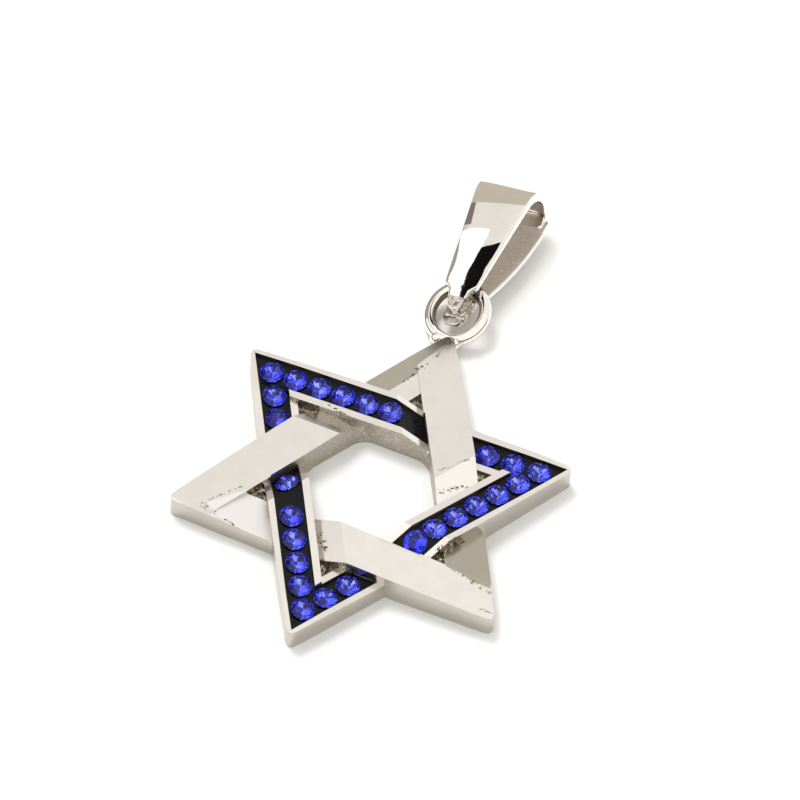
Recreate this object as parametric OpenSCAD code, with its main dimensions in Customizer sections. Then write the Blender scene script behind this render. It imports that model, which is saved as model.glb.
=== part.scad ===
// Six-pointed star pendant: two interlaced triangles, one of them set with round stones in black fill,
// a jump ring soldered behind the top point, and a folded bail that hangs in the ring.
// The pendant lies on its back. +Z points up out of its face, +Y towards the bail, and the surface is Z = 0.

/* [Star] */
// Distance from the centre of the star to each rounded tip
star_r = 12.5; // [11:0.25:16]
// Rounding of the tips, seen from above
tip_round = 0.35; // [0.1:0.05:0.6]
// How far each outer side bows outwards at its middle
side_belly = 0.19; // [0.12:0.01:0.22]
// How much higher a bar is where it passes over another than where it goes under
weave_rise = 0.82; // [0.5:0.02:1.2]
// How much higher a bar is at its tips than where it goes under
tip_rise = 0.24; // [0.05:0.01:0.45]
// Length of the steep slope with which a bar dives under another
ramp_l = 1.6; // [1.2:0.05:2]
// Length of flat top before a bar's far tip
tip_flat_l = 2; // [1:0.1:3]

/* [Stone channels] */
// Metal left outside the channel
rim_outer = 0.28; // [0.25:0.01:0.6]
// Metal left inside the channel
rim_inner = 0.46; // [0.25:0.01:0.6]
// Room between a stone and the channel's wall
channel_side_gap = 0.13; // [0.08:0.01:0.2]
// Metal under the channel
channel_base = 0.4; // [0.25:0.05:0.6]
// How far the black fill lies below the metal
fill_drop = 0.3; // [0.24:0.01:0.4]
// Clearance between pieces that sit against each other
fit_gap = 0.03; // [0.02:0.01:0.05]

/* [Stones] */
// Diameter of each stone
stone_d = 1.54; // [1.3:0.02:1.7]
// Smallest space between two stones in a row
stone_gap = 0.05; // [0.02:0.01:0.2]
// How much wider than the others the row that lacks its last level stone is spaced
loose_spread = 1.05; // [1:0.01:1.08]
// Height of the crown above the girdle
crown_h = 0.28; // [0.15:0.01:0.3]
// Depth of the pavilion below the girdle
pavilion_h = 0.64; // [0.5:0.01:0.75]
// Thickness of the girdle
girdle_t = 0.05; // [0.03:0.01:0.1]
// Width of the table facet
table_d = 0.87; // [0.7:0.01:1]
// How far the girdle lies below the metal
stone_drop = 0.15; // [0.1:0.01:0.22]

/* [Jump ring] */
// Outer diameter of the jump ring
ring_d = 4.5; // [4.2:0.1:5]
// Diameter of the ring's wire
wire_d = 0.8; // [0.7:0.02:0.86]
// How far the ring laps over the end of the top tip
ring_lap = 0.05; // [0:0.05:0.3]
// Sideways place of the ring
ring_x = -0.45; // [-0.5:0.05:0.5]
// Tilt of the ring, which raises its side at the bail
ring_tilt = 18; // [10:1:24]
// Lean of the ring and the bail, which raises their right sides
lean = 14; // [0:1:18]
// Radius of the two solder beads that join the ring to the star
solder_r = 0.44; // [0.35:0.01:0.5]

/* [Bail] */
// Length from the ring's wire to the top of the fold
bail_l = 7.9; // [6:0.1:11]
// Height of the fold at the top
bail_h = 3.5; // [2.6:0.05:4]
// Thickness of the back wall
back_t = 0.38; // [0.3:0.01:0.5]
// Thickness of the front plate at the ring
front_t = 0.42; // [0.36:0.01:0.8]
// Thickness of the metal in the fold
fold_t = 0.6; // [0.4:0.01:0.8]
// Width of the bail at the fold
fold_w = 4.3; // [3:0.05:5]
// Width of the front plate at the ring
front_w = 2.25; // [1.6:0.05:2.3]
// Width of the back wall at the ring
back_w = 2.6; // [2:0.05:2.8]
// How far each side of the front plate bows outwards at its middle
front_bow = 0; // [-0.2:0.05:0.3]
// How far each side of the back wall bows outwards at its middle
back_bow = 0.4; // [0:0.05:0.6]
// Width of the front plate's tongue, inside the ring
tongue_w = 1.36; // [1:0.02:1.6]
// Width of the back wall's end, inside the ring
heel_w = 1.84; // [1.4:0.02:1.9]
// Length of the closed end, inside the ring
nose_l = 1.95; // [1.4:0.05:2]
// How much shorter the tongue is than the back wall's end
tongue_back = 0.7; // [0.2:0.05:0.8]
// Clearance between the bail and the ring
bail_gap = 0.15; // [0.12:0.01:0.2]
// How far the bail sits to the side of the ring's middle
bail_x = -0.1; // [-0.16:0.02:0.16]
// Turn of the bail about the ring, seen from above
bail_turn = -2.5; // [-5:0.5:4]

/* [Hidden] */
$fn = 64;
// The three stone-set points: name, direction of the point, whether the last level place and the slope hold a stone
ROWS = [["a", 150, true, false], ["b", 30, true, true], ["c", 270, false, true]];
ROW_NAME = 0;
ROW_TIP = 1;
ROW_LAST = 2;
ROW_SLOPE = 3;
// The three plain points of the other triangle
PLAIN_TIPS = [90, 210, 330];
TURN = 120;

stone_r = stone_d / 2;
channel_w = stone_d + 2 * channel_side_gap;
bar_w = channel_w + rim_outer + rim_inner;
side_d = (star_r + tip_round) / 2;
window_d = side_d - bar_w;
channel_out = side_d - rim_outer;
channel_in = window_d + rim_inner;
channel_mid = (channel_out + channel_in) / 2;
side_half = side_d * tan(60);

// Heights of the metal: where a bar goes under, at the tips, and where it passes over
low_z = channel_base + 2 * fit_gap + pavilion_h + girdle_t + stone_drop;
tip_z = low_z + tip_rise;
over_z = low_z + weave_rise;
above_all = over_z + 1;

// Places along u, the distance across the bar that this one goes under
crest_u = window_d - ramp_l;
flat_u = star_r - tip_flat_l;
far_u = 2 * side_d + 1;

// Rows of stones, along x of the bar, measured from its middle
corner_x = -channel_mid * tan(60);
crest_x = (crest_u - channel_mid * sin(30)) / cos(30);
last_x = crest_x - stone_r * 0.8;
row_pitch = stone_d + stone_gap;
long_count = floor((last_x - corner_x) / row_pitch);
long_pitch = (last_x - corner_x) / long_count;
wall_u = side_d + side_belly;
short_end_x = (wall_u + stone_r + channel_side_gap - channel_mid * sin(30)) / cos(30);
short_count = floor((-corner_x - short_end_x) / row_pitch);
short_pitch = (-corner_x - short_end_x) / short_count;
slope_angle = atan((over_z - low_z) / ramp_l);
slope_u = window_d - stone_r * cos(slope_angle) - channel_side_gap;
slope_x = (slope_u - channel_mid * sin(30)) / cos(30);

ring_r = (ring_d - wire_d) / 2;
ring_hole_r = ring_r - wire_d / 2;
ring_y = star_r + wire_d / 2 + ring_r * cos(ring_tilt) - ring_lap;
// The ring's low side, or the lower of its solder beads, rests on the surface
ring_slant = acos(cos(ring_tilt) * cos(lean));
solder_turn = 18;
bead_r = ring_r + wire_d / 4;
bead_low = bead_r * (cos(solder_turn) * sin(ring_tilt) + sin(solder_turn) * sin(lean) * cos(ring_tilt));
ring_z = max(ring_r * sin(ring_slant) + wire_d / 2, bead_low + solder_r);
// The bail turns about the wire's middle, at the ring's high end
pivot_y = ring_y + ring_r * cos(ring_tilt);
pivot_z = ring_z + ring_r * sin(ring_tilt);

// The bail's own frame: x across it, y along it from the pivot, z up from the outside of its back wall
bail_fold_r = bail_h / 2;
inner_fold_r = (bail_h - fold_t - back_t) / 2;
wire_z = back_t + bail_gap + wire_d / 2;
// How far below the pivot the bail closes, so that its full width clears the ring
bail_drop = ring_r - sqrt(pow(ring_hole_r - bail_gap, 2) - pow(heel_w / 2, 2)) - wire_d / 2 - bail_gap;
neck_r = (wire_z + wire_d / 2 + bail_gap + front_t) / 2;
nose_y = bail_drop + wire_d / 2 + bail_gap + nose_l;
// The two walls keep their full width down to here: the front plate above the wire, the back wall before it
front_end_y = -bail_drop - wire_d / 4;
back_end_y = bail_gap;
nose_r = neck_r / 2;
// The seam between the front plate's tongue and the end of the back wall
seam_z = nose_r;
seam_r = 0.1;
// The back wall's left edge rests on the surface, where the fold begins
fold_k = (bail_l - bail_fold_r - back_end_y) / (bail_l - back_end_y);
rest_x = back_w / 2 + (fold_w - back_w) / 2 * fold_k + back_bow * 4 * fold_k * (1 - fold_k) - bail_x;
bail_pitch = asin((pivot_z - sin(lean) * rest_x - cos(lean) * wire_z) / (bail_l - bail_fold_r));
bail_top_y = pivot_y + cos(bail_turn) * cos(bail_pitch) * bail_l + sin(abs(bail_turn)) * fold_w / 2;
// The origin lies under the middle of the whole pendant
center_y = (bail_top_y - star_r) / 2;

// A stone's place is [arm, x, y]: arm 0 is the bar that starts at the point, arm 1 the bar that ends there
function row_places(row) = let (pitch = row[ROW_LAST] ? long_pitch : long_pitch * loose_spread) concat(
    [[0, corner_x, channel_mid]],
    [for (i = [1:long_count]) if (i < long_count || row[ROW_LAST]) [0, corner_x + i * pitch, channel_mid]],
    row[ROW_SLOPE] ? [[0, slope_x, channel_mid]] : [],
    [for (i = [1:short_count]) [1, -corner_x - i * short_pitch, channel_mid]]
);

function stone_name(row, i) = str("stone_", row[ROW_NAME], i + 1);

// A point on a side that lies at distance d, bowed outwards
function bowed(x, d) = [x, d + side_belly * (1 - pow(x / side_half, 2))];

// Height of the metal along u, and its slope
function slope_at(u) =
    u < crest_u ? (over_z - tip_z) / (crest_u + side_d)
    : u < window_d ? -(over_z - low_z) / ramp_l
    : u < wall_u ? 0
    : u < flat_u ? (tip_z - low_z) / (flat_u - wall_u)
    : 0;
function height_at(u) =
    u < crest_u ? over_z - (crest_u - u) * slope_at(u)
    : u < window_d ? over_z + (u - crest_u) * slope_at(u)
    : u < wall_u ? low_z
    : u < flat_u ? low_z + (u - wall_u) * slope_at(u)
    : tip_z;
function across(x, y) = x * cos(30) + y * sin(30);

// Points of an arc around c
function arc(c, r, from, to, steps = 8) =
    [for (i = [0:steps]) c + r * [cos(from + (to - from) * i / steps), sin(from + (to - from) * i / steps)]];

// One corner of the outline of a triangle, with the side that follows it
function corner_and_side(tip) =
    let (c = (star_r - tip_round) * [cos(tip), sin(tip)], steps = 10, x_end = side_half - 3 * tip_round)
    concat(
        arc(c, tip_round, tip + 60, tip - 60),
        [for (i = [0:steps])
            let (p = bowed(-x_end + 2 * x_end * i / steps, side_d), a = tip - 150)
            [p[0] * cos(a) - p[1] * sin(a), p[0] * sin(a) + p[1] * cos(a)]]
    );

module triangle_outline(tip) {
    polygon([for (k = [0:2]) each corner_and_side(tip - k * TURN)]);
}

// The height of one bar as a long block: x of the profile is u, and it runs square to u
module height_block(drop = 0, bottom = 0) {
    rotate([0, 0, 30])
        rotate([90, 0, 0])
            linear_extrude(4 * star_r, center = true)
                polygon([
                    [-far_u, bottom],
                    [-far_u, height_at(-far_u) - drop],
                    [crest_u, over_z - drop],
                    [window_d, low_z - drop],
                    [wall_u, low_z - drop],
                    [flat_u, tip_z - drop],
                    [far_u, tip_z - drop],
                    [far_u, bottom]
                ]);
}

// A bar lies along x with its outer side towards +Y, and starts at the point that lies at 150 degrees
module bar() {
    intersection() {
        linear_extrude(above_all)
            intersection() {
                triangle_outline(150);
                translate([-2 * star_r, window_d]) square([4 * star_r, star_r]);
            }
        height_block();
    }
}

module at_tip(tip) {
    rotate([0, 0, tip - 150]) children();
}

// Outline of the channel in the bar that starts at the point, inset by gap
module long_channel(gap = 0) {
    out = channel_out - gap;
    in = channel_in + gap;
    end_u = window_d - gap;
    corner = -out * tan(60);
    end_out = (end_u - out * sin(30)) / cos(30);
    steps = 8;
    polygon(concat(
        [[-(out + in * sin(30)) / cos(30), in]],
        [[corner, out]],
        [for (i = [1:steps]) bowed(corner + (end_out - corner) * i / steps, out) - [0, bowed(corner, 0)[1]]],
        [[(end_u - in * sin(30)) / cos(30), in]]
    ));
}

// Outline of the channel in the bar that ends at the point, inset by gap: it runs half into the long channel
module short_channel(gap = 0) {
    out = channel_out - gap;
    in = channel_in + gap;
    start_u = wall_u + gap;
    polygon([
        [(start_u - in * sin(30)) / cos(30), in],
        [(start_u - out * sin(30)) / cos(30), out],
        [(channel_mid + out * sin(30)) / cos(30), out],
        [(channel_mid + in * sin(30)) / cos(30), in]
    ]);
}

module channel_cut(tip) {
    at_tip(tip)
        translate([0, 0, channel_base]) linear_extrude(above_all) long_channel();
    at_tip(tip + TURN)
        translate([0, 0, channel_base]) linear_extrude(above_all) short_channel();
}

// The ring's own frame: it lies in the XY plane, and +Y points at the bail
module in_ring() {
    translate([ring_x, ring_y, ring_z])
        rotate([ring_tilt, 0, 0])
            rotate([0, -lean, 0]) children();
}

module jump_ring() {
    in_ring() {
        rotate_extrude() translate([ring_r, 0]) circle(d = wire_d);
        for (side = [-1, 1])
            rotate([0, 0, side * solder_turn])
                translate([0, -bead_r, 0])
                    rotate([90, 0, 0]) sphere(r = solder_r);  // Its poles point along the ring's radius
    }
}

module star_body() {
    difference() {
        union() {
            for (row = ROWS) at_tip(row[ROW_TIP]) bar();
            for (tip = PLAIN_TIPS) at_tip(tip) bar();
        }
        for (row = ROWS) channel_cut(row[ROW_TIP]);
    }
}

module star_frame() {
    color([0.86, 0.84, 0.81])
        translate([0, -center_y, 0]) {
            star_body();
            jump_ring();
        }
}

// Stands a child on the metal of a bar at [x, y], sunk by drop
module on_metal(place, drop) {
    u = across(place[1], place[2]);
    translate([place[1], place[2], height_at(u)])
        rotate([0, 0, 30])
            rotate([0, -atan(slope_at(u)), 0])
                translate([0, 0, -drop]) children();
}

module at_place(row, place) {
    translate([0, -center_y, 0])
        at_tip(row[ROW_TIP] + place[0] * TURN)
            on_metal(place, stone_drop) children();
}

// A stone's seat in the fill: the cone of its pavilion, with room, open upwards
module seat() {
    wide = stone_r + fit_gap;
    deep = girdle_t + pavilion_h + fit_gap;
    rotate_extrude() polygon([[0, -deep], [fit_gap, -deep], [wide, -girdle_t], [wide, stone_d], [0, stone_d]]);
}

module channel_fill(row) {
    floor_z = channel_base + fit_gap;
    color([0.03, 0.03, 0.05])
        difference() {
            translate([0, -center_y, 0]) {
                at_tip(row[ROW_TIP]) intersection() {
                    translate([0, 0, floor_z]) linear_extrude(above_all) long_channel(fit_gap);
                    height_block(fill_drop);
                }
                at_tip(row[ROW_TIP] + TURN) intersection() {
                    translate([0, 0, floor_z]) linear_extrude(above_all) short_channel(fit_gap);
                    height_block(fill_drop);
                }
            }
            for (place = row_places(row)) at_place(row, place) seat();
        }
}

// A round brilliant with the top of its girdle at Z = 0: table, stars, kites, upper halves, girdle,
// lower halves and pavilion mains
function ring_points(r, z, count, turn = 0) =
    [for (k = [0:count - 1]) [r * cos(k * 360 / count + turn), r * sin(k * 360 / count + turn), z]];

module brilliant() {
    mains = 8;
    halves = 2 * mains;
    half_turn = 180 / mains;
    table_r = table_d / 2;
    star_pt_r = (table_r * cos(half_turn) + stone_r) / 2;
    star_pt_z = crown_h * (stone_r - star_pt_r * cos(half_turn)) / (stone_r - table_r);
    lower_pt_r = stone_r / 4;
    lower_pt_z = -girdle_t - pavilion_h * (1 - lower_pt_r * cos(half_turn) / stone_r);
    // Where each ring of points begins
    stars = mains;
    top = stars + mains;
    low = top + halves;
    lowers = low + halves;
    culet = lowers + mains;
    points = concat(
        ring_points(table_r, crown_h, mains),
        ring_points(star_pt_r, star_pt_z, mains, half_turn),
        ring_points(stone_r, 0, halves),
        ring_points(stone_r, -girdle_t, halves),
        ring_points(lower_pt_r, lower_pt_z, mains, half_turn),
        [[0, 0, -girdle_t - pavilion_h]]
    );
    faces = concat(
        [[for (k = [mains - 1:-1:0]) k]],
        [for (k = [0:mains - 1])
            let (n = (k + 1) % mains, p = (k + mains - 1) % mains, g = 2 * k, h = (2 * k + 1) % halves,
                j = (2 * k + 2) % halves)
            each [
                [k, n, stars + k],
                [k, stars + k, top + g, stars + p],
                [stars + k, top + h, top + g],
                [stars + k, top + j, top + h],
                [low + g, low + h, lowers + k],
                [low + h, low + j, lowers + k],
                [low + g, lowers + k, culet, lowers + p]
            ]],
        [for (k = [0:halves - 1])
            let (n = (k + 1) % halves)
            [top + k, top + n, low + n, low + k]]
    );
    polyhedron(points = points, faces = faces);
}

module stone(row, i) {
    color([0.2, 0.2, 0.8]) at_place(row, row_places(row)[i]) brilliant();
}

// Outline round two circles with centres p and q
function capsule(p, rp, q, rq) =
    let (d = norm(q - p), turn = atan2(q[1] - p[1], q[0] - p[0]), open = acos((rp - rq) / d))
    concat(arc(q, rq, turn - open, turn + open, 16), arc(p, rp, turn + open, turn + 360 - open, 16));

// The bail's side view, of its y and z
module bail_side() {
    neck = [-bail_drop, neck_r];
    difference() {
        union() {
            polygon(capsule(neck, neck_r, [bail_l - bail_fold_r, bail_fold_r], bail_fold_r));
            polygon(capsule([nose_r - nose_y, nose_r], nose_r, neck, neck_r));
        }
        polygon(capsule(
            [-bail_drop, wire_z], wire_d / 2 + bail_gap,
            [bail_l - fold_t - inner_fold_r, back_t + inner_fold_r], inner_fold_r
        ));
        translate([tongue_back - nose_y, seam_z]) circle(r = seam_r, $fn = 16);
    }
}

// Plan of one wall: it narrows from the fold to full_y, slants in to end_w and ends round, inside the ring
module wall_plan(end_w, end_y, full_w, full_y, slant, bow) {
    steps = 8;
    side = [for (i = [0:steps]) let (k = i / steps)
        [full_w / 2 + (fold_w - full_w) / 2 * k + bow * 4 * k * (1 - k), full_y + (bail_l - full_y) * k]];
    points = concat([[end_w / 2, end_y + end_w / 2], [end_w / 2, full_y - slant]], side);
    translate([0, end_y + end_w / 2]) circle(d = end_w);
    polygon(concat(points, [for (i = [len(points) - 1:-1:0]) [-points[i][0], points[i][1]]]));
}

module bail() {
    color([0.88, 0.86, 0.84])
        translate([ring_x, pivot_y - center_y, pivot_z])
            rotate([0, 0, bail_turn])
                rotate([-bail_pitch, 0, 0])
                    rotate([0, -lean, 0])
                        translate([bail_x, 0, -wire_z])
                            intersection() {
                                rotate([90, 0, 90]) linear_extrude(2 * fold_w, center = true) bail_side();
                                union() {
                                    translate([0, 0, seam_z]) linear_extrude(2 * bail_h)
                                        wall_plan(tongue_w, tongue_back - nose_y, front_w, front_end_y, wire_d / 2, front_bow);
                                    linear_extrude(seam_z)
                                        wall_plan(heel_w, -nose_y, back_w, back_end_y, bail_gap, back_bow);
                                }
                            }
}

star_frame();
bail();
for (row = ROWS) {
    channel_fill(row);
    for (i = [0:len(row_places(row)) - 1])
        stone(row, i);
}
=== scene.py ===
"""Six-pointed star pendant: looks, light and camera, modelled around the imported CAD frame."""
import random
from contextlib import contextmanager
from math import atan2, cos, degrees, pi, radians, sin

import bpy
from mathutils import Matrix, Vector, noise


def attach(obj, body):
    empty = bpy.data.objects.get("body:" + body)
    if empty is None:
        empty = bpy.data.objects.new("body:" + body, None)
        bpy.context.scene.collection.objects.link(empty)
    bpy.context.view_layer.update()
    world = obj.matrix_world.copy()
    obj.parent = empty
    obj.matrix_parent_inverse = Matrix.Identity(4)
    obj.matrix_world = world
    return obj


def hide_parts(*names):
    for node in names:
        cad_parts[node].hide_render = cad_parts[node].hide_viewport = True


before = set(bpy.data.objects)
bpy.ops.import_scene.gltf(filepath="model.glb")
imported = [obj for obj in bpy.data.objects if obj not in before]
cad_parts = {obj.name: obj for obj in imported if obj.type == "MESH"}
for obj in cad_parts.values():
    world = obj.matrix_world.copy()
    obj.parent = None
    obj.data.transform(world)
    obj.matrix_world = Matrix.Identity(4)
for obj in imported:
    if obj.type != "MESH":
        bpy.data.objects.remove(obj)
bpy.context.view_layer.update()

MM = 0.001

# ---------------------------------------------------------------- places, as in the part's source
STAR_CENTRE = Vector((0, -5.923 * MM, 0))
WINDOW_D = 3.885 * MM
SIDE_D = 6.425 * MM
RING_START_Y = STAR_CENTRE.y + 12.3 * MM
STONES = sorted(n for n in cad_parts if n.startswith("stone_"))
FILLS = sorted(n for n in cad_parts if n.startswith("channel_fill_"))

# The bail's own frame: x across it, y from the ring to the fold, z up from the outside of its back wall
BAIL_TURN = radians(-2.5)
BAIL_PITCH = radians(2.721)
BAIL_LEAN = radians(14)
BAIL_PLACE = (Matrix.Translation((-0.45 * MM, 10.4458 * MM, 1.7599 * MM))
              @ Matrix.Rotation(BAIL_TURN, 4, "Z") @ Matrix.Rotation(-BAIL_PITCH, 4, "X")
              @ Matrix.Rotation(-BAIL_LEAN, 4, "Y") @ Matrix.Translation((-0.1 * MM, 0, -0.93 * MM)))
BAIL_L = 7.9 * MM
BAIL_H = 3.5 * MM
FOLD_W = 4.3 * MM
FRONT_W = 2.25 * MM


# ---------------------------------------------------------------- helpers for modelling
# Below these, points count as one and faces as one flat face
SAME_PLACE = 0.002 * MM
SAME_PLANE = radians(0.4)
SPECK = 0.003 * MM
# Shading rounds off edges up to these angles, the second for the bars, and broad faces stay flat by weight
SMOOTH_UP_TO = radians(32)
FLAT_UP_TO = radians(20)
FACE_WEIGHT = 80


def deselect_all():
    if bpy.context.object and bpy.context.object.mode != "OBJECT":
        bpy.ops.object.mode_set(mode="OBJECT")
    bpy.ops.object.select_all(action="DESELECT")


def make_active(piece):
    deselect_all()
    piece.select_set(True)
    bpy.context.view_layer.objects.active = piece


@contextmanager
def editing(piece, kind="VERT", test=None):
    """Edit mode on a piece, with all of it selected, or only the points, edges or faces that pass a test."""
    make_active(piece)
    bpy.ops.object.mode_set(mode="EDIT")
    bpy.ops.mesh.select_mode(type=kind)
    bpy.ops.mesh.select_all(action="DESELECT" if test else "SELECT")
    if test:
        bpy.ops.object.mode_set(mode="OBJECT")
        mesh = piece.data
        for item in {"VERT": mesh.vertices, "EDGE": mesh.edges, "FACE": mesh.polygons}[kind]:
            item.select = test(item)
        bpy.ops.object.mode_set(mode="EDIT")
    yield
    bpy.ops.object.mode_set(mode="OBJECT")


def copy_of_node(node, name):
    """A copy of a CAD node with its own mesh, its loose triangles joined and its flat faces whole."""
    source = bpy.data.objects[node]
    piece = bpy.data.objects.new(name, source.data.copy())
    piece.data.name = name
    bpy.context.scene.collection.objects.link(piece)
    with editing(piece):
        bpy.ops.mesh.remove_doubles(threshold=SAME_PLACE)
        bpy.ops.mesh.dissolve_limited(angle_limit=SAME_PLANE)
    return piece


def drop_specks(piece):
    """Joins points that lie almost on each other, and drops the faces that this leaves without area."""
    with editing(piece):
        bpy.ops.mesh.remove_doubles(threshold=SPECK)
        bpy.ops.mesh.dissolve_degenerate(threshold=SPECK)


def round_edges(piece, width, angle, segments):
    """Rounds all edges sharper than the angle."""
    make_active(piece)
    bevel = piece.modifiers.new("rounding", "BEVEL")
    bevel.width = width
    bevel.segments = segments
    bevel.limit_method = "ANGLE"
    bevel.angle_limit = angle
    bevel.use_clamp_overlap = False
    bevel.harden_normals = False
    bpy.ops.object.modifier_apply(modifier=bevel.name)
    drop_specks(piece)


def smooth(piece, angle, flat_angle=None, flat_end_y=0.0):
    """Smooth shading up to the angle, or up to a smaller one for what lies below a place in y."""
    make_active(piece)
    bpy.ops.object.shade_smooth_by_angle(angle=angle, keep_sharp_edges=False)
    if flat_angle:
        sides = {}
        for face in piece.data.polygons:
            for key in face.edge_keys:
                sides.setdefault(key, []).append(face.normal)
        for edge in piece.data.edges:
            low = max(piece.data.vertices[i].co.y for i in edge.vertices) < flat_end_y
            normals = sides[edge.key]
            if low and len(normals) == 2 and normals[0].angle(normals[1], pi) > flat_angle:
                edge.use_edge_sharp = True
    weighted = piece.modifiers.new("flat_faces", "WEIGHTED_NORMAL")
    weighted.keep_sharp = True
    weighted.weight = FACE_WEIGHT
    bpy.ops.object.modifier_apply(modifier=weighted.name)


def set_materials(piece, *materials):
    piece.data.materials.clear()
    for material in materials:
        piece.data.materials.append(material)


# ---------------------------------------------------------------- camera
CAMERA_YAW = radians(20.3)
CAMERA_PITCH = radians(53.6)
CAMERA_ROLL = radians(3.95)
CAMERA_DISTANCE = 627 * MM
PIXELS_PER_M = 16083
IMAGE_WIDTH = 800
SENSOR_MM = 36
AIM_RIGHT = 1.84 * MM
AIM_UP = 6.07 * MM


def build_camera():
    """The camera, at the photo's angle on the star's centre."""
    turn = (Matrix.Rotation(CAMERA_YAW, 3, "Z") @ Matrix.Rotation(pi / 2 - CAMERA_PITCH, 3, "X")
            @ Matrix.Rotation(CAMERA_ROLL, 3, "Z"))
    data = bpy.data.cameras.new("studio_camera")
    camera = bpy.data.objects.new("studio_camera", data)
    camera.location = STAR_CENTRE + turn @ Vector((AIM_RIGHT, AIM_UP, CAMERA_DISTANCE))
    camera.rotation_euler = turn.to_euler()
    data.sensor_width = SENSOR_MM
    data.lens = PIXELS_PER_M * CAMERA_DISTANCE * SENSOR_MM / IMAGE_WIDTH
    data.clip_start = 0.01
    data.clip_end = 10
    bpy.context.scene.collection.objects.link(camera)
    bpy.context.scene.camera = camera


# ---------------------------------------------------------------- shader helpers
class Net:
    """A node tree with short ways to add, join and set its nodes."""

    def __init__(self, tree):
        self.tree = tree
        self.nodes = tree.nodes

    def add(self, kind, **settings):
        node = self.nodes.new("ShaderNode" + kind)
        for key, value in settings.items():
            setattr(node, key, value)
        return node

    def put(self, value, socket):
        if isinstance(value, bpy.types.NodeSocket):
            self.tree.links.new(value, socket)
        else:
            socket.default_value = value

    def math(self, operation, a, b=0.0, c=0.0):
        node = self.add("Math", operation=operation)
        for value, socket in zip((a, b, c), node.inputs):
            self.put(value, socket)
        return node.outputs[0]

    def ramp(self, value, low, high, to_low=0.0, to_high=1.0):
        node = self.add("MapRange", interpolation_type="SMOOTHSTEP")
        for key, item in (("Value", value), ("From Min", low), ("From Max", high),
                          ("To Min", to_low), ("To Max", to_high)):
            self.put(item, node.inputs[key])
        return node.outputs["Result"]

    def noise(self, vector, scale, detail=2.0, roughness=0.5):
        node = self.add("TexNoise")
        self.put(vector, node.inputs["Vector"])
        self.put(scale, node.inputs["Scale"])
        self.put(detail, node.inputs["Detail"])
        self.put(roughness, node.inputs["Roughness"])
        return node.outputs["Fac"]

    def mix(self, factor, a, b):
        node = self.add("Mix", data_type="RGBA")
        self.put(factor, node.inputs["Factor"])
        self.put(a, node.inputs["A"])
        self.put(b, node.inputs["B"])
        return node.outputs["Result"]


def new_group(name, inputs, outputs):
    group = bpy.data.node_groups.new(name, "ShaderNodeTree")
    for socket_name, kind, default in inputs:
        socket = group.interface.new_socket(socket_name, in_out="INPUT", socket_type=kind)
        if default is not None:
            socket.default_value = default
    for socket_name, kind in outputs:
        group.interface.new_socket(socket_name, in_out="OUTPUT", socket_type=kind)
    net = Net(group)
    source = group.nodes.new("NodeGroupInput")
    result = group.nodes.new("NodeGroupOutput")
    return group, net, source.outputs, result.inputs


def new_material(name):
    material = bpy.data.materials.new(name)
    material.use_nodes = True
    net = Net(material.node_tree)
    return material, net, net.nodes["Principled BSDF"]


# ---------------------------------------------------------------- shared effects
def polish_group():
    """Hand polish: slow waves in the surface, fine hair scratches, and a roughness that wanders."""
    group, net, given, result = new_group(
        "hand_polish",
        [("Position", "NodeSocketVector", None), ("Wave", "NodeSocketFloat", 1.0),
         ("Roughness", "NodeSocketFloat", 0.2), ("Spread", "NodeSocketFloat", 0.08)],
        [("Height", "NodeSocketFloat"), ("Roughness", "NodeSocketFloat")])
    waves = net.noise(given["Position"], scale=330, detail=1.5)
    fine = net.noise(given["Position"], scale=2600, detail=2.0)
    height = net.math("MULTIPLY_ADD", fine, 0.05, net.math("MULTIPLY", waves, given["Wave"]))
    net.put(height, result["Height"])
    cloud = net.noise(given["Position"], scale=700, detail=3.0, roughness=0.6)
    spread = net.math("MULTIPLY", net.math("SUBTRACT", cloud, 0.5), given["Spread"])
    net.put(net.math("ADD", given["Roughness"], spread), result["Roughness"])
    return group


def grain_group():
    """Cast skin: pits and grains left where no polishing wheel reaches."""
    group, net, given, result = new_group(
        "cast_grain",
        [("Position", "NodeSocketVector", None), ("Scale", "NodeSocketFloat", 6000.0)],
        [("Height", "NodeSocketFloat"), ("Pits", "NodeSocketFloat")])
    grains = net.noise(given["Position"], scale=given["Scale"], detail=3.0, roughness=0.65)
    coarse = net.noise(given["Position"], scale=net.math("MULTIPLY", given["Scale"], 0.3), detail=2.0)
    net.put(net.math("MULTIPLY_ADD", coarse, 0.8, grains), result["Height"])
    net.put(net.ramp(grains, 0.36, 0.52, 1.0, 0.0), result["Pits"])
    return group


# Lines where the casting was left rough or was soldered: start and end about the star's centre, and half
# the width, in mm
ROUGH_LINES = (
    ((-7.03, -3.64), (-8.73, -5.62), 0.10), ((-8.75, -6.01), (-7.90, -6.11), 0.34),
    ((-7.90, -6.11), (-6.05, -6.59), 0.13), ((0.17, 12.26), (-0.29, 10.32), 0.12),
    ((-0.29, 10.32), (-1.32, 8.12), 0.15), ((-0.90, 9.30), (-0.66, 9.50), 0.30),
    ((3.42, 2.09), (5.19, 4.28), 0.12), ((4.18, 1.08), (5.46, 2.35), 0.24),
    ((-1.37, -4.97), (-0.60, -5.75), 0.5), ((-4.69, 4.13), (-2.87, 3.71), 0.26),
    ((5.76, -3.06), (6.92, -1.51), 0.20), ((7.04, -4.00), (8.24, -4.19), 0.12),
    ((8.24, -4.19), (9.88, -4.51), 0.30), ((9.76, -5.94), (10.65, -5.89), 0.12))


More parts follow.
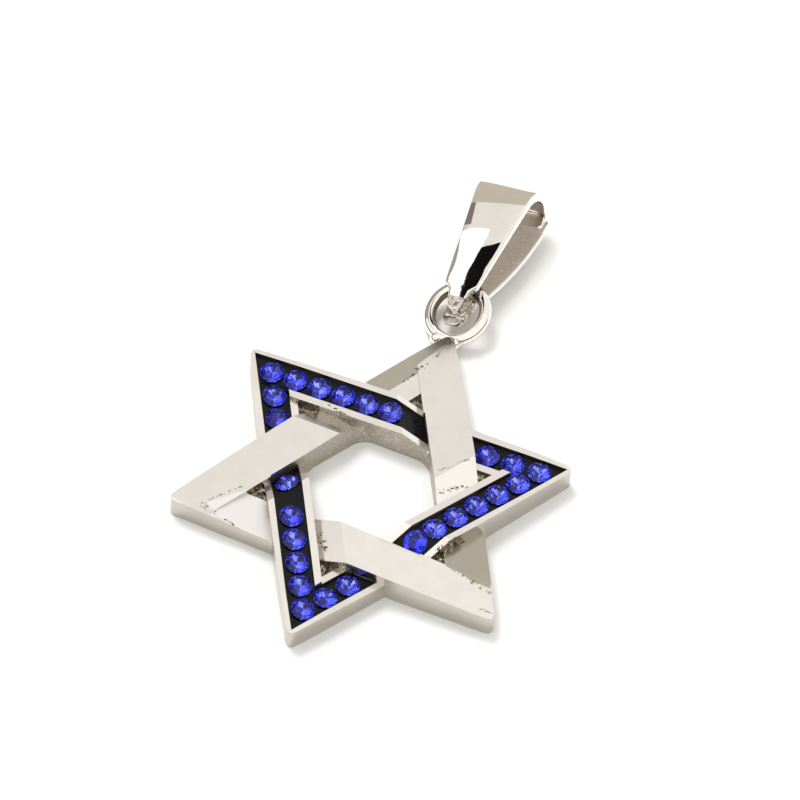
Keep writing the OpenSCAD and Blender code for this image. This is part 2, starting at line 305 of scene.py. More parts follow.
def seams_group():
    """Dots and small pits along the rough lines of the casting."""
    group, net, given, result = new_group(
        "rough_seams", [("Position", "NodeSocketVector", None)],
        [("Dots", "NodeSocketFloat"), ("Near", "NodeSocketFloat")])

    def vector_math(operation, a, b, output=0):
        node = net.add("VectorMath", operation=operation)
        net.put(a, node.inputs[0])
        net.put(b, node.inputs[1])
        return node.outputs[output]

    local = vector_math("SUBTRACT", given["Position"], STAR_CENTRE)
    flat = vector_math("MULTIPLY", local, (1, 1, 0))
    near = 0.0
    for start, end, width in ROUGH_LINES:
        a, b = Vector((*start, 0)) * MM, Vector((*end, 0)) * MM
        along = b - a
        offset = vector_math("SUBTRACT", flat, a)
        share = vector_math("DOT_PRODUCT", offset, along / along.length_squared, "Value")
        share = net.math("MINIMUM", net.math("MAXIMUM", share, 0.0), 1.0)
        scaled = net.add("VectorMath", operation="SCALE")
        scaled.inputs[0].default_value = along
        net.put(share, scaled.inputs["Scale"])
        away = vector_math("LENGTH", vector_math("SUBTRACT", offset, scaled.outputs[0]), (0, 0, 0), "Value")
        near = net.math("MAXIMUM", near, net.ramp(away, width * MM, 0.2 * width * MM, 0.0, 1.0))
    specks = net.add("TexVoronoi")
    net.put(given["Position"], specks.inputs["Vector"])
    specks.inputs["Scale"].default_value = 9500
    gaps = net.noise(given["Position"], scale=4200, detail=1.0)
    reach = net.math("MULTIPLY", near, net.ramp(gaps, 0.36, 0.6, 0.08, 0.55))
    net.put(net.ramp(net.math("SUBTRACT", reach, specks.outputs["Distance"]), -0.05, 0.06), result["Dots"])
    net.put(near, result["Near"])
    return group


GROUPS = {}


def place_group(net, name, **values):
    node = net.add("Group")
    node.node_tree = GROUPS[name]
    for key, value in values.items():
        net.put(value, node.inputs[key.replace("_", " ")])
    return node.outputs


def bump(net, shader, height, distance, strength=1.0):
    node = net.add("Bump")
    node.inputs["Distance"].default_value = distance
    node.inputs["Strength"].default_value = strength
    net.put(height, node.inputs["Height"])
    net.put(node.outputs["Normal"], shader.inputs["Normal"])


# ---------------------------------------------------------------- materials
SILVER = (0.93, 0.895, 0.85, 1)
WARM_SILVER = (0.80, 0.755, 0.69, 1)
SEAM_DARK = (0.10, 0.08, 0.055, 1)
GLINT = (0.96, 0.94, 0.91, 1)
ENAMEL_BLACK = (0.003, 0.003, 0.004, 1)
ENAMEL_DUST = (0.012, 0.012, 0.014, 1)
GLASS_BLUE, GLASS_PALE = (0.30, 0.34, 0.98, 1), (0.42, 0.46, 1.0, 1)
FOIL_BLUE, FOIL_PALE = (0.30, 0.32, 0.98, 1), (0.42, 0.46, 1.0, 1)


def polished_silver(name, roughness, wave, tone=SILVER, warm=WARM_SILVER, seams=False):
    material, net, shader = new_material(name)
    where = net.add("TexCoord").outputs["Object"]
    polish = place_group(net, "hand_polish", Position=where, Wave=wave, Roughness=roughness, Spread=0.06)
    cloud = net.noise(where, scale=900, detail=2.0)
    colour = net.mix(net.ramp(cloud, 0.35, 0.7, 0.0, 0.25), tone, warm)
    height = polish["Height"]
    if seams:
        rough = place_group(net, "rough_seams", Position=where)
        colour = net.mix(rough["Dots"], colour, SEAM_DARK)
        height = net.math("MULTIPLY_ADD", rough["Dots"], -0.6, height)
    net.put(colour, shader.inputs["Base Color"])
    shader.inputs["Metallic"].default_value = 1
    net.put(polish["Roughness"], shader.inputs["Roughness"])
    bump(net, shader, height, 0.06 * MM)
    return material


def cast_silver(name, light, dark, roughness, scale, depth):
    material, net, shader = new_material(name)
    where = net.add("TexCoord").outputs["Object"]
    grain = place_group(net, "cast_grain", Position=where, Scale=scale)
    glints = net.ramp(net.noise(where, scale=scale * 0.55, detail=1.0), 0.66, 0.72)
    colour = net.mix(glints, net.mix(grain["Pits"], light, dark), GLINT)
    net.put(colour, shader.inputs["Base Color"])
    shader.inputs["Metallic"].default_value = 1
    net.put(net.ramp(grain["Pits"], 0, 1, roughness, roughness + 0.2), shader.inputs["Roughness"])
    bump(net, shader, grain["Height"], depth)
    return material


def black_material():
    material, net, shader = new_material("black_enamel")
    where = net.add("TexCoord").outputs["Object"]
    polish = place_group(net, "hand_polish", Position=where, Wave=1.0, Roughness=0.22, Spread=0.2)
    dust = net.noise(where, scale=5200, detail=2.0)
    colour = net.mix(net.ramp(dust, 0.62, 0.75), ENAMEL_BLACK, ENAMEL_DUST)
    net.put(colour, shader.inputs["Base Color"])
    shader.inputs["Specular IOR Level"].default_value = 0.2
    net.put(polish["Roughness"], shader.inputs["Roughness"])
    bump(net, shader, polish["Height"], 0.2 * MM)
    return material


def crown_material():
    material, net, shader = new_material("stone_crown")
    where = net.add("TexCoord").outputs["Object"]
    tint = net.noise(where, scale=500, detail=1.0)
    net.put(net.mix(net.ramp(tint, 0.4, 0.6), GLASS_BLUE, GLASS_PALE), shader.inputs["Base Color"])
    shader.inputs["Roughness"].default_value = 0.0
    shader.inputs["IOR"].default_value = 1.45
    shader.inputs["Transmission Weight"].default_value = 1
    return material


def foil_material():
    material, net, shader = new_material("stone_foil")
    where = net.add("TexCoord").outputs["Object"]
    tint = net.noise(where, scale=900, detail=1.0)
    net.put(net.mix(net.ramp(tint, 0.4, 0.6), FOIL_BLUE, FOIL_PALE), shader.inputs["Base Color"])
    shader.inputs["Metallic"].default_value = 1
    shader.inputs["Roughness"].default_value = 0.06
    return material


# ---------------------------------------------------------------- the star
# Its finishes, in the order of its materials
# The walls and undersides, the bars' edges and the ring's inside are silver painted darker as painted shade
TOP, SHADED_WALL, CAST, HOLE, RING, EDGE, PATCH_HIGHLIGHT, PATCH_SHADE, SHADED_RING_INSIDE = range(9)

# Places about the star's centre that part one finish from the next
RING_CENTRE_Y = 14.23 * MM
RING_FINISH_Y = 12.35 * MM
WINDOW_REACH = 4.6 * MM
WINDOW_WALL_REACH = 6.3 * MM
HOLE_REACH = 7.5 * MM
HOLE_SPREAD = 10  # degrees to either side of a tip
WALL_CUT_REACH = 7.6 * MM
PATCH_CUT_REACH = 5 * MM

# What a face's normal has to reach along z for a level face, a top, a wall and the underside, and along the
# way inwards for the ring's inside and the rims of the stone channels
LEVEL_FROM = 0.9
TOP_FROM = 0.35
WALL_UP_TO = 0.5
UPRIGHT_UP_TO = 0.3
UNDER_FROM = -0.5
RING_INSIDE_FROM = 0.62
RIM_INSIDE_FROM = 0.6

# Patches of the tips that were filed at another angle, by their corners about the star's centre, in mm
# The first patch is painted lighter as a painted highlight, the other two darker as painted shade
HIGHLIGHT_PATCH = ((-8.67, -5.76), (-7.03, -3.64), (-5.28, -3.92), (-4.28, -6.64), (-6.07, -6.56),
                (-7.79, -6.36))
SHADE_TOP_PATCH = ((0.11, 12.41), (-0.29, 10.32), (-1.05, 8.59), (-1.63, 7.50), (-2.31, 6.63), (-3.38, 7.06),
                  (-1.2, 13.0))
SHADE_RIGHT_PATCH = ((6.30, -2.70), (7.76, -0.40), (9.9, -4.23), (8.55, -4.21), (7.72, -4.02), (6.70, -3.95))
PATCHES = ((HIGHLIGHT_PATCH, PATCH_HIGHLIGHT), (SHADE_TOP_PATCH, PATCH_SHADE), (SHADE_RIGHT_PATCH, PATCH_SHADE))


def inside(corners, x, y):
    """True where a place in mm lies within a patch."""
    hit = False
    for (x0, y0), (x1, y1) in zip(corners, corners[1:] + corners[:1]):
        if (y0 > y) != (y1 > y) and x < x0 + (y - y0) * (x1 - x0) / (y1 - y0):
            hit = not hit
    return hit


def cut_faces(piece, place, normal, test):
    """Cuts the faces that pass the test along a plane."""
    with editing(piece, "FACE", test):
        bpy.ops.mesh.bisect(plane_co=place, plane_no=normal)


def cut_patches(piece):
    """Cuts the star's tops along the borders of the filed patches, which take a painted highlight and painted
    shade.
    """
    for corners, _ in PATCHES:
        middle = sum((Vector(c) for c in corners), Vector((0, 0))) / len(corners) * MM

        def near(face):
            p = face.center - STAR_CENTRE
            return face.normal.z > LEVEL_FROM and (p.xy - middle).length < PATCH_CUT_REACH

        for start, end in zip(corners, corners[1:] + corners[:1]):
            along = Vector(end) - Vector(start)
            place = STAR_CENTRE + Vector((*start, 0)) * MM
            cut_faces(piece, place, (-along.y, along.x, 0), near)


def top_finish(p):
    """The finish of a top face: that of the filed patch it lies in, with its painted highlight or painted
    shade, or the plain one.
    """
    for corners, finish in PATCHES:
        if inside(corners, p.x / MM, p.y / MM):
            return finish
    return TOP


def star_face_finish(centre, normal):
    """Which finish a face of the star or its ring has, by its place and the way it looks; walls, undersides
    and the ring's inside take painted shade.
    """
    p = centre - STAR_CENTRE
    if p.y > RING_FINISH_Y:
        inward = Vector((-p.x, RING_CENTRE_Y - p.y, 0)).normalized()
        # The ring's inside takes silver painted dark as painted shade
        return SHADED_RING_INSIDE if normal.dot(inward) > RING_INSIDE_FROM else RING
    if normal.z > TOP_FROM:
        return top_finish(p)
    # Undersides and outer walls take the silver painted darker as painted shade
    if normal.z < UNDER_FROM:
        return SHADED_WALL
    reach = p.xy.length
    off_tip = abs(degrees(atan2(p.y, p.x)) % 60 - 30)
    if reach < WINDOW_WALL_REACH:
        return CAST
    return HOLE if reach < HOLE_REACH and off_tip < HOLE_SPREAD else SHADED_WALL


# The window's corners: their rounding, and what tells their upright edges from all others
WINDOW_ROUND = 0.75 * MM
UPRIGHT_WITHIN = 0.01 * MM
UPRIGHT_FROM = 0.5 * MM
CORNER_WITHIN = 0.05 * MM


def round_window_corners(piece):
    """Rounds the six upright corners of the window, as the casting's wax was."""
    corner_reach = WINDOW_D / cos(radians(30))

    def window_corner(edge):
        a, b = (piece.data.vertices[i].co for i in edge.vertices)
        upright = (a.xy - b.xy).length < UPRIGHT_WITHIN and abs(a.z - b.z) > UPRIGHT_FROM
        return upright and abs((a - STAR_CENTRE).xy.length - corner_reach) < CORNER_WITHIN

    with editing(piece, "EDGE", window_corner):
        bpy.ops.mesh.bevel(offset=WINDOW_ROUND, segments=6, affect="EDGES", clamp_overlap=False)


# How far below the ring's start points are still left alone, and how near each other the others may lie
SOLDER_MARGIN = 0.1 * MM
CROWDED = 0.06 * MM


def join_bar_points(piece):
    """Joins the points of the bars that lie too close together to shade well, and leaves the ring alone."""
    with editing(piece, "VERT", lambda vertex: vertex.co.y < RING_START_Y - SOLDER_MARGIN):
        bpy.ops.mesh.remove_doubles(threshold=CROWDED)


EDGE_ROUND = 0.04 * MM
EDGE_FROM = radians(28)
SHORT_EDGE = 0.05 * MM


def round_bar_edges(piece):
    """Takes the bars' sharp edges back by what room their nearest points leave, which is hardly anything."""
    make_active(piece)
    bpy.ops.object.mode_set(mode="EDIT")
    bpy.ops.mesh.select_mode(type="EDGE")
    bpy.ops.mesh.select_all(action="DESELECT")
    bpy.ops.mesh.edges_select_sharp(sharpness=EDGE_FROM)
    bpy.ops.object.mode_set(mode="OBJECT")
    for edge in piece.data.edges:
        a, b = (piece.data.vertices[i].co for i in edge.vertices)
        if max(a.y, b.y) > RING_START_Y - SOLDER_MARGIN or (a - b).length < SHORT_EDGE:
            edge.select = False
    bpy.ops.object.mode_set(mode="EDIT")
    # The rounded edges take the silver painted darker as painted shade, for dark outlines
    bpy.ops.mesh.bevel(offset=EDGE_ROUND, segments=2, affect="EDGES", clamp_overlap=True, material=EDGE)
    bpy.ops.mesh.select_all(action="SELECT")
    bpy.ops.mesh.remove_doubles(threshold=SPECK)
    bpy.ops.mesh.dissolve_degenerate(threshold=SPECK)
    bpy.ops.object.mode_set(mode="OBJECT")


RIM_W = 0.22 * MM


def widen_rims(piece):
    """Keeps the outer rim of each stone channel broad where the bar bellies outwards."""
    for angle in (90, 210, 330):
        toward = Vector((cos(radians(angle)), sin(radians(angle)), 0))
        rim_vertices = set()
        for face in piece.data.polygons:
            reach = (face.center - STAR_CENTRE).dot(toward)
            if face.normal.dot(toward) < -RIM_INSIDE_FROM and SIDE_D - RIM_W < reach < SIDE_D + RIM_W:
                rim_vertices.update(face.vertices)
        for index in rim_vertices:
            vertex = piece.data.vertices[index]
            excess = (vertex.co - STAR_CENTRE).dot(toward) - (SIDE_D - RIM_W)
            vertex.co -= toward * max(0, excess)


def near_wall(face):
    """True for the upright faces round the window and the corner holes."""
    return abs(face.normal.z) < WALL_UP_TO and (face.center - STAR_CENTRE).xy.length < WALL_CUT_REACH


def keeps_shaded_edge(face):
    """True for the edges of the bars that lie neither flat nor in the window, which keep the silver painted
    darker as painted shade.
    """
    lies_flat = abs(face.normal.z) > LEVEL_FROM
    upright = abs(face.normal.z) < UPRIGHT_UP_TO
    in_window = upright and (face.center - STAR_CENTRE).xy.length < WINDOW_REACH
    return not (lies_flat or in_window or face.center.y > RING_START_Y)


def build_star(materials):
    """The cast star with its soldered ring, which takes the place of the CAD one."""
    piece = copy_of_node("star_frame", "star_casting")
    set_materials(piece, *materials)
    widen_rims(piece)
    round_window_corners(piece)
    join_bar_points(piece)
    round_bar_edges(piece)
    for angle in (30, 90, 150):
        across = Vector((cos(radians(angle)), sin(radians(angle)), 0))
        cut_faces(piece, STAR_CENTRE, across, lambda face: True)
        for side in (-SIDE_D, SIDE_D):
            cut_faces(piece, STAR_CENTRE + across * side, across, near_wall)
    cut_patches(piece)
    for face in piece.data.polygons:
        if face.material_index != EDGE or not keeps_shaded_edge(face):
            face.material_index = star_face_finish(face.center, face.normal)
    smooth(piece, SMOOTH_UP_TO, FLAT_UP_TO, RING_START_Y)
    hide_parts("star_frame")
    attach(piece, "root")


WEB_R = 1.0 * MM
WEB_REACH = 6.873 * MM
WEB_TOP = 0.92 * MM
WEB_LOW = 0.10 * MM
WEB_CUTS = 7
# The web's skin: size and height of its lumps, and of the finer grain on them
LUMP_SCALE, LUMP_HEIGHT = 2600, 0.16 * MM
GRAIN_SCALE, GRAIN_HEIGHT = 7000, 0.10 * MM


def cast_web(index, material):
    """The rough skin of metal that closes the small corner hole of a tip, sunk below the bars."""
    angle = radians(30 + 60 * index)
    deselect_all()
    bpy.ops.mesh.primitive_cylinder_add(vertices=3, radius=WEB_R, depth=WEB_TOP - WEB_LOW)
    web = bpy.context.object
    web.name = "cast_web_%d" % (index + 1)
    with editing(web):
        bpy.ops.mesh.subdivide(number_cuts=WEB_CUTS)
    corner = max((v.co for v in web.data.vertices), key=lambda c: c.xy.length)
    turn = angle + Vector((1, 0)).angle_signed(corner.xy)
    place = STAR_CENTRE + Vector((cos(angle), sin(angle), 0)) * WEB_REACH
    web.data.transform(Matrix.Translation(place) @ Matrix.Rotation(turn, 4, "Z"))
    for vertex in web.data.vertices:
        if vertex.co.z > 0:
            lumps = noise.noise(vertex.co * LUMP_SCALE) * LUMP_HEIGHT
            grain = noise.noise(vertex.co * GRAIN_SCALE) * GRAIN_HEIGHT
            vertex.co.z = WEB_TOP + lumps + grain
        else:
            vertex.co.z = WEB_LOW
    web.data.update()
    set_materials(web, material)
    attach(web, "root")


# ---------------------------------------------------------------- the bail
# Its finishes, in the order of its materials
POLISHED, INSIDE, ROUGH = range(3)
BAIL_ROUND = 0.09 * MM
BAIL_ROUND_OVER = radians(40)
# Where it is cut before its front is crowned: shares of half its width, and steps along it
LONG_CUTS = (-0.66, -0.44, -0.22, 0, 0.22, 0.44, 0.66)
CROSS_CUT_STEP = 0.28 * MM
CROSS_CUTS = range(-9, 22)

# The front's end narrows to a tongue below this place, over this length and by this share
TONGUE_Y = -1.1 * MM
TONGUE_L = 0.6 * MM
TONGUE_NARROWS = 0.2

# The front's crown starts at its end, fades towards the fold and leaves the back wall flat
CROWN = 0.16 * MM
CROWN_Y = -0.6 * MM
CROWN_ONSET = 1.2 * MM
CROWN_LOWEST = 0.62 * MM
CROWN_LEFT_AT_FOLD = 0.1

# Where the polish ends and the closure's rough skin begins: a curve across the front, a place on the sides,
# and how far along y or z a face has to look
PLATE_END_Y = -1.5 * MM
PLATE_END_CURVE = 400
SIDE_END_Y = -0.45 * MM
SIDE_END_Z = 1.6 * MM
SIDE_UP_TO = 0.2
HEEL_Y = -1.9 * MM
HEEL_FROM = -0.55
INSIDE_LOW, INSIDE_HIGH = 0.3 * MM, 0.5 * MM
INSIDE_FROM = 0.7


def share_of(value, low, high):
    """How far a value has come from low to high, held between 0 and 1."""
    return max(0, min(1, (value - low) / (high - low)))


def cut_bail(piece):
    """Cuts the bail lengthwise and across, so that its front can take a crown."""
    with editing(piece):
        # The long cuts fan out as the bail widens, so that none comes near its edges
        for share in LONG_CUTS:
            bpy.ops.mesh.select_all(action="SELECT")
            bpy.ops.mesh.bisect(plane_co=(share * FRONT_W / 2, 0, 0),
                                plane_no=(1, -share * (FOLD_W - FRONT_W) / 2 / BAIL_L, 0))
        for k in CROSS_CUTS:
            bpy.ops.mesh.select_all(action="SELECT")
            bpy.ops.mesh.bisect(plane_co=(0, k * CROSS_CUT_STEP, 0), plane_no=(0, 1, 0))


def crown_bail(piece):
    """Narrows the tongue and swells the front."""
    for vertex in piece.data.vertices:
        p = vertex.co
        p.x *= 1 - TONGUE_NARROWS * share_of(-p.y, -TONGUE_Y, TONGUE_L - TONGUE_Y)
        if p.z < CROWN_LOWEST or p.y < CROWN_Y:
            continue
        half = (FRONT_W + (FOLD_W - FRONT_W) * share_of(p.y, 0, BAIL_L)) / 2
        swell = CROWN * max(0, 1 - (p.x / half) ** 2)
        onset = share_of(p.y, CROWN_Y, CROWN_Y + CROWN_ONSET)
        fold = max(0, (p.y - (BAIL_L - BAIL_H / 2)) / (BAIL_H / 2))
        p.z += swell * onset * (1 - (1 - CROWN_LEFT_AT_FOLD) * fold)


def bail_face_finish(p, n):
    """Which finish a face of the bail has, by its place and normal in the bail's own frame."""
    plate_end = PLATE_END_Y + PLATE_END_CURVE * p.x * p.x
    if p.y < HEEL_Y and n.y < HEEL_FROM:
        return POLISHED
    if p.y < plate_end or (p.y < SIDE_END_Y and n.z < SIDE_UP_TO and p.z < SIDE_END_Z):
        return ROUGH
    return INSIDE if INSIDE_LOW < p.z < INSIDE_HIGH and n.z > INSIDE_FROM else POLISHED


def build_bail(*materials):
    """The folded bail with a crowned front and rounded edges, which takes the place of the CAD one."""
    piece = copy_of_node("bail", "polished_bail")
    back = BAIL_PLACE.inverted()
    piece.data.transform(back)
    cut_bail(piece)
    crown_bail(piece)
    piece.data.transform(BAIL_PLACE)
    round_edges(piece, width=BAIL_ROUND, angle=BAIL_ROUND_OVER, segments=4)
    set_materials(piece, *materials)
    turn = back.to_3x3()
    for face in piece.data.polygons:
        face.material_index = bail_face_finish(back @ face.center, turn @ face.normal)
    smooth(piece, SMOOTH_UP_TO)
    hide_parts("bail")
    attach(piece, "root")


# ---------------------------------------------------------------- stones and fill
STONE_R = 0.77 * MM
GIRDLE_T = 0.05 * MM
CROWN_H = 0.28 * MM
PAVILION_H = 0.64 * MM
TABLE_R = 0.44 * MM
STONE_SIDES = 16
SLANT_FROM = 0.1 * MM
FOIL_TOP = -0.9 * GIRDLE_T


def start_facets_alike(stone):
    """Lists each facet's corners from the middle of its girdle side, so that every run splits it alike."""
    mesh = stone.data
    corners = [vertex.co.copy() for vertex in mesh.vertices]
    facets = []
    for face in mesh.polygons:
        loop = list(face.vertices)
        middle = face.center.xy
        start = max(range(len(loop)), key=lambda k: round(corners[loop[k]].xy.dot(middle) / MM ** 2, 3))
        facets.append(loop[start:] + loop[:start])
    mesh.clear_geometry()
    mesh.from_pydata(corners, [], facets)


def cut_first_stone(crown, foil):
    """One foil-backed round stone with eight broad facets above and below, its girdle's top at the origin."""
    deselect_all()
    bpy.ops.mesh.primitive_cylinder_add(vertices=STONE_SIDES, radius=STONE_R, depth=GIRDLE_T,
                                        location=(0, 0, -GIRDLE_T / 2), end_fill_type="NGON")
    stone = bpy.context.object
    stone.name = "brilliant"
    make_active(stone)
    bpy.ops.object.transform_apply(location=True, rotation=True, scale=True)
    with editing(stone, "FACE", lambda face: face.normal.z > LEVEL_FROM):
        bpy.ops.mesh.extrude_region_move(TRANSFORM_OT_translate={"value": (0, 0, CROWN_H)})
        bpy.ops.transform.resize(value=(TABLE_R / STONE_R, TABLE_R / STONE_R, 1))
    with editing(stone, "FACE", lambda face: face.normal.z < -LEVEL_FROM):
        bpy.ops.mesh.extrude_region_move(TRANSFORM_OT_translate={"value": (0, 0, -PAVILION_H)})
        bpy.ops.mesh.merge(type="CENTER")

    # Every second edge between facets goes, which leaves eight broad ones
    def odd_slant(edge):
        a, b = (stone.data.vertices[i].co for i in edge.vertices)
        outer = a if a.xy.length > b.xy.length else b
        place = round(outer.xy.angle_signed(Vector((1, 0))) / (2 * pi / STONE_SIDES)) % 2
        return abs(a.z - b.z) > SLANT_FROM and place == 1

    with editing(stone, "EDGE", odd_slant):
        bpy.ops.mesh.dissolve_edges(use_verts=False)
    start_facets_alike(stone)
    set_materials(stone, crown, foil)
    for face in stone.data.polygons:
        face.material_index = 0 if face.center.z > FOIL_TOP else 1
    return stone


def stone_place(node):
    """Where a CAD stone sits: the top of its girdle, and its axis."""
    flat = copy_of_node(node, "stone_measure")
    table = max(flat.data.polygons, key=lambda f: f.area)
    axis = table.normal.copy()
    place = table.center - axis * CROWN_H
    bpy.data.objects.remove(flat)
    return place, axis


def set_stone(first, node, turn):
    """Sets a copy of the first stone where a CAD stone sits, turned about its axis."""
    place, axis = stone_place(node)
    piece = bpy.data.objects.new(node.replace("stone", "brilliant"), first.data.copy())
    bpy.context.scene.collection.objects.link(piece)
    lean = Vector((0, 0, 1)).rotation_difference(axis).to_matrix().to_4x4()
    piece.data.transform(Matrix.Translation(place) @ lean @ Matrix.Rotation(turn, 4, "Z"))
    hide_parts(node)
    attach(piece, "root")


def lay_fill(node, material):
    set_materials(bpy.data.objects[node], material)


# ---------------------------------------------------------------- studio
FLOOR_HALF = 3.0


def build_floor():
    deselect_all()
    bpy.ops.mesh.primitive_plane_add(size=2 * FLOOR_HALF, location=(0, 0, 0))
    floor = bpy.context.object
    floor.name = "studio_floor"
    material, net, shader = new_material("floor_white")
    where = net.add("TexCoord").outputs["Object"]
    paper = net.noise(where, scale=40, detail=2.0)
    net.put(net.mix(paper, (0.83, 0.83, 0.825, 1), (0.84, 0.84, 0.835, 1)), shader.inputs["Base Color"])
    shader.inputs["Roughness"].default_value = 0.9
    shader.inputs["Specular IOR Level"].default_value = 0.1
    floor.data.materials.append(material)


def light_card(panel, name, colour, strength):
    """Gives a card its glow, which only reflections see."""
    material = bpy.data.materials.new(name)
    material.use_nodes = True
    nodes = material.node_tree.nodes
    nodes.remove(nodes["Principled BSDF"])
    glow = nodes.new("ShaderNodeEmission")
    glow.inputs["Color"].default_value = colour
    glow.inputs["Strength"].default_value = strength
    material.node_tree.links.new(glow.outputs["Emission"], nodes["Material Output"].inputs["Surface"])
    panel.data.materials.append(material)
    panel.visible_camera = False
    panel.visible_shadow = False
    panel.visible_diffuse = False
    panel.visible_transmission = False


# Cards held close over the bail, in mm: what its polished front mirrors
BLACK_CARD = ((-1.4, 12.9), (-1.6, 12.3), (-1.85, 11.4), (-2.2, 10.5), (-2.5, 9.6), (-2.65, 8.9),
              (-2.75, 8.4), (-2.1, 8.25), (-1.5, 8.9), (-0.8, 9.8), (-0.4, 10.7), (-0.2, 11.7),
              (0.0, 12.6), (0.1, 13.55), (-0.5, 13.3), (-1.0, 13.1))
WHITE_CARD = ((-3.5, 13.8), (-2.6, 14.0), (-1.5, 14.15), (-1.1, 14.1), (-1.15, 13.7), (-1.4, 12.9),
              (-1.6, 12.3), (-1.85, 11.4), (-2.2, 10.5), (-2.5, 9.6), (-2.65, 8.9), (-2.75, 8.4),
              (-3.55, 8.0), (-3.6, 9.5), (-3.7, 10.5), (-3.68, 11.5), (-3.52, 12.6))
SIDE_CARD = ((-9.0, 14.0), (-3.5, 13.8), (-3.52, 12.6), (-3.68, 11.5), (-3.7, 10.5), (-3.6, 9.5),
             (-3.55, 8.0), (-9.0, 7.0))
BEIGE_CARD = ((-5.0, 15.9), (-3.0, 16.0), (-1.8, 16.1), (-0.3, 16.3), (1.4, 16.5), (1.6, 21.0), (-5.0, 20.0))
GREY_CARD = ((-4.8, 14.6), (-3.45, 14.6), (-3.25, 16.0), (-4.8, 15.9))
# The slanting plane they lie on: a place on it, how it rises with x and y, and how far above it two lie
CARD_X, CARD_Y, CARD_Z = -1.47, 12.19, 4.785
CARD_RISE_X, CARD_RISE_Y = 0.463, -0.25
CARD_LIFT = 1.135


def near_card(name, corners, colour, lift=0.0):
    """A small card over the bail, on a plane that slants as its front does."""
    def height(x, y):
        return CARD_Z + lift + CARD_RISE_X * (x - CARD_X) + CARD_RISE_Y * (y - CARD_Y)

    mesh = bpy.data.meshes.new(name)
    mesh.from_pydata([Vector((x, y, height(x, y))) * MM for x, y in corners], [], [range(len(corners))])
    panel = bpy.data.objects.new(name, mesh)
    bpy.context.scene.collection.objects.link(panel)
    light_card(panel, name, colour, 1.0)


# What silver sees of the soft tent around it, and cut glass of the room
TENT_BEIGE = (0.47, 0.44, 0.385, 1)
TENT_PALE = (0.85, 0.82, 0.79, 1)
TENT_SIDE = (0.99, 0.965, 0.93, 1)
TENT_FRONT = (1.12, 1.10, 1.07, 1)
TENT_LINE = (0.13, 0.12, 0.11, 1)
ROOM_DARK = (0.05, 0.05, 0.06, 1)
ROOM_GREY = (0.5, 0.5, 0.52, 1)
ROOM_BRIGHT = (2.6, 2.6, 2.7, 1)
BACKDROP_WHITE = (1, 1, 1, 1)


def build_world():
    """Surrounds the pendant with what silver, glass and the camera see."""
    world = bpy.data.worlds.new("studio")
    bpy.context.scene.world = world
    world.use_nodes = True
    net = Net(world.node_tree)
    background = net.nodes["Background"]
    direction = net.add("TexCoord").outputs["Generated"]
    parts = net.add("SeparateXYZ")
    net.put(direction, parts.inputs[0])
    x, y, z = parts.outputs
    # Silver sees a soft tent: pale overhead, white in front, beige low down at the back
    tent = net.mix(net.ramp(z, 0.30, 0.60), TENT_BEIGE, TENT_PALE)
    tent = net.mix(net.ramp(x, -0.21, -0.05), tent, TENT_SIDE)
    tent = net.mix(net.ramp(y, 0.30, -0.10), tent, TENT_FRONT)
    # A dark line stands along the horizon, which draws the edges of what is rounded
    line = net.math("MULTIPLY", net.ramp(z, 0.34, 0.26), net.ramp(y, 0.45, 0.25))
    tent = net.mix(line, tent, TENT_LINE)
    # The stones see brighter and darker patches, as cut glass does in a room
    patches = net.noise(direction, scale=2.1, detail=1.0)
    bright = net.ramp(patches, 0.55, 0.62)
    middle = net.ramp(patches, 0.44, 0.50)
    sparkle = net.mix(middle, ROOM_DARK, ROOM_GREY)
    sparkle = net.mix(bright, sparkle, ROOM_BRIGHT)
    path = net.add("LightPath")
    seen = net.mix(path.outputs["Is Transmission Ray"], tent, sparkle)
    seen = net.mix(path.outputs["Is Camera Ray"], seen, BACKDROP_WHITE)
    net.put(seen, background.inputs["Color"])
    background.inputs["Strength"].default_value = 1.0


def build_lamp(name, location, size, energy):
    light = bpy.data.lights.new(name, "AREA")
    light.shape = "RECTANGLE"
    light.size, light.size_y = size, size
    light.energy = energy
    lamp = bpy.data.objects.new(name, light)
    lamp.location = location
    lamp.rotation_euler = Vector(location).to_track_quat("Z", "Y").to_euler()
    lamp.visible_glossy = False
    lamp.visible_transmission = False
    bpy.context.scene.collection.objects.link(lamp)


def build_studio():
    bpy.context.scene.view_settings.view_transform = "Standard"
    build_world()
    near_card("black_card", BLACK_CARD, (0.004, 0.004, 0.004, 1))
    near_card("white_card", WHITE_CARD, (1.3, 1.28, 1.25, 1))
    near_card("side_card", SIDE_CARD, (0.36, 0.345, 0.32, 1))
    near_card("beige_card", BEIGE_CARD, (0.58, 0.53, 0.455, 1), CARD_LIFT)
    near_card("grey_card", GREY_CARD, (0.22, 0.20, 0.18, 1), CARD_LIFT)
    build_lamp("key_softbox", location=(-0.30, 0.22, 0.62), size=0.28, energy=3.2)


# ---------------------------------------------------------------- the pendant
chance = random.Random(7)
GROUPS["hand_polish"] = polish_group()
GROUPS["cast_grain"] = grain_group()
GROUPS["rough_seams"] = seams_group()

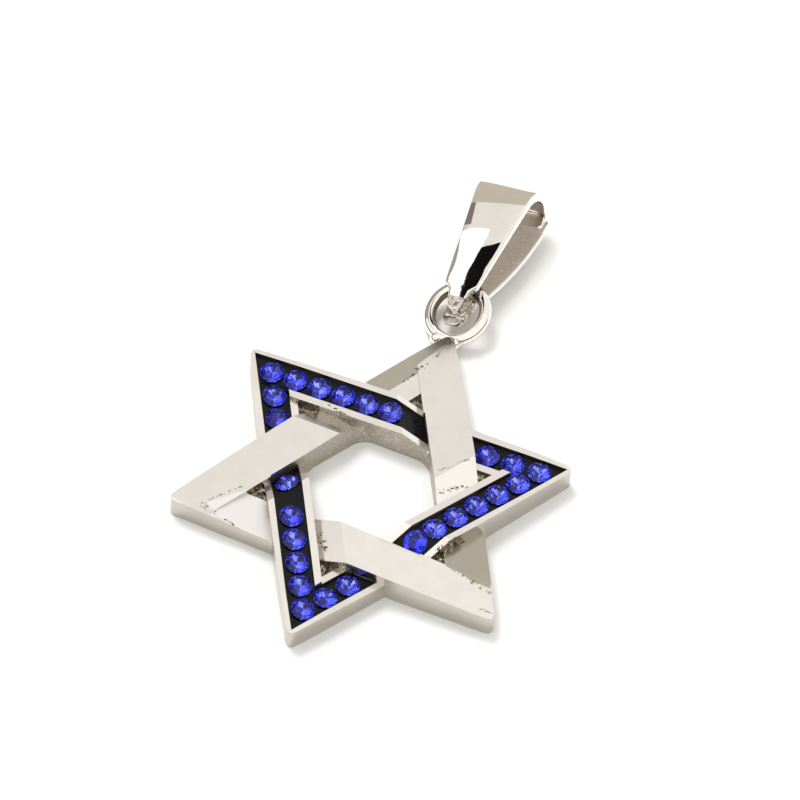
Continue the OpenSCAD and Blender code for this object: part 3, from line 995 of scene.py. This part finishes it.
top_silver = polished_silver("satin_silver", roughness=0.18, wave=0.5, seams=True)
# Painted highlight: rougher silver painted lighter, for a filed patch that catches the light
highlight_silver = polished_silver("highlight_cut_silver", roughness=0.48, wave=0.9, seams=True,
                                tone=(0.985, 0.975, 0.955, 1), warm=(0.93, 0.91, 0.88, 1))
# Painted shade: silver painted darker, for filed patches that lose the light
shaded_patch_silver = polished_silver("shaded_cut_silver", roughness=0.24, wave=0.9, seams=True,
                              tone=(0.50, 0.47, 0.39, 1), warm=(0.42, 0.385, 0.31, 1))
# Painted shade: the walls and undersides are the same silver painted darker
shaded_wall_silver = polished_silver("shaded_wall_silver", roughness=0.22, wave=0.8,
                              tone=(0.585, 0.555, 0.50, 1), warm=(0.49, 0.455, 0.395, 1))
window_silver = cast_silver("window_cast_silver", light=(0.54, 0.50, 0.43, 1), dark=(0.34, 0.31, 0.255, 1),
                            roughness=0.40, scale=15000, depth=0.03 * MM)
hole_silver = cast_silver("hole_cast_silver", light=(0.42, 0.36, 0.27, 1), dark=(0.05, 0.04, 0.025, 1),
                          roughness=0.30, scale=5200, depth=0.10 * MM)
web_silver = cast_silver("web_cast_silver", light=(0.62, 0.55, 0.44, 1), dark=(0.05, 0.04, 0.03, 1),
                         roughness=0.20, scale=4600, depth=0.12 * MM)
ring_silver = polished_silver("ring_silver", roughness=0.09, wave=1.0)
# Painted shade: the bars' rounded edges painted darker, as dark outlines
shaded_edge_silver = polished_silver("shaded_edge_silver", roughness=0.24, wave=0.6,
                              tone=(0.44, 0.42, 0.39, 1), warm=(0.34, 0.31, 0.27, 1))
# Painted shade: the ring's inside painted dark
shaded_ring_inside_silver = polished_silver("ring_inner_shaded_silver", roughness=0.14, wave=1.0,
                              tone=(0.34, 0.30, 0.25, 1), warm=(0.22, 0.18, 0.14, 1))
bail_polish = polished_silver("bail_mirror_silver", roughness=0.06, wave=0.12)
bail_inside = cast_silver("bail_inner_silver", light=(0.74, 0.68, 0.63, 1), dark=(0.60, 0.54, 0.49, 1),
                          roughness=0.34, scale=11000, depth=0.03 * MM)
bail_rough = cast_silver("bail_end_silver", light=(0.78, 0.72, 0.64, 1), dark=(0.24, 0.19, 0.15, 1),
                         roughness=0.18, scale=3800, depth=0.10 * MM)
black = black_material()
crown_glass = crown_material()
foil = foil_material()

build_star((top_silver, shaded_wall_silver, window_silver, hole_silver, ring_silver, shaded_edge_silver,
            highlight_silver, shaded_patch_silver, shaded_ring_inside_silver))
for corner in range(6):
    cast_web(corner, web_silver)
build_bail(bail_polish, bail_inside, bail_rough)
for node in FILLS:
    lay_fill(node, black)
first_stone = cut_first_stone(crown_glass, foil)
for node in STONES:
    set_stone(first_stone, node, chance.uniform(0, pi / 4))
bpy.data.objects.remove(first_stone)
build_floor()
build_studio()
build_camera()
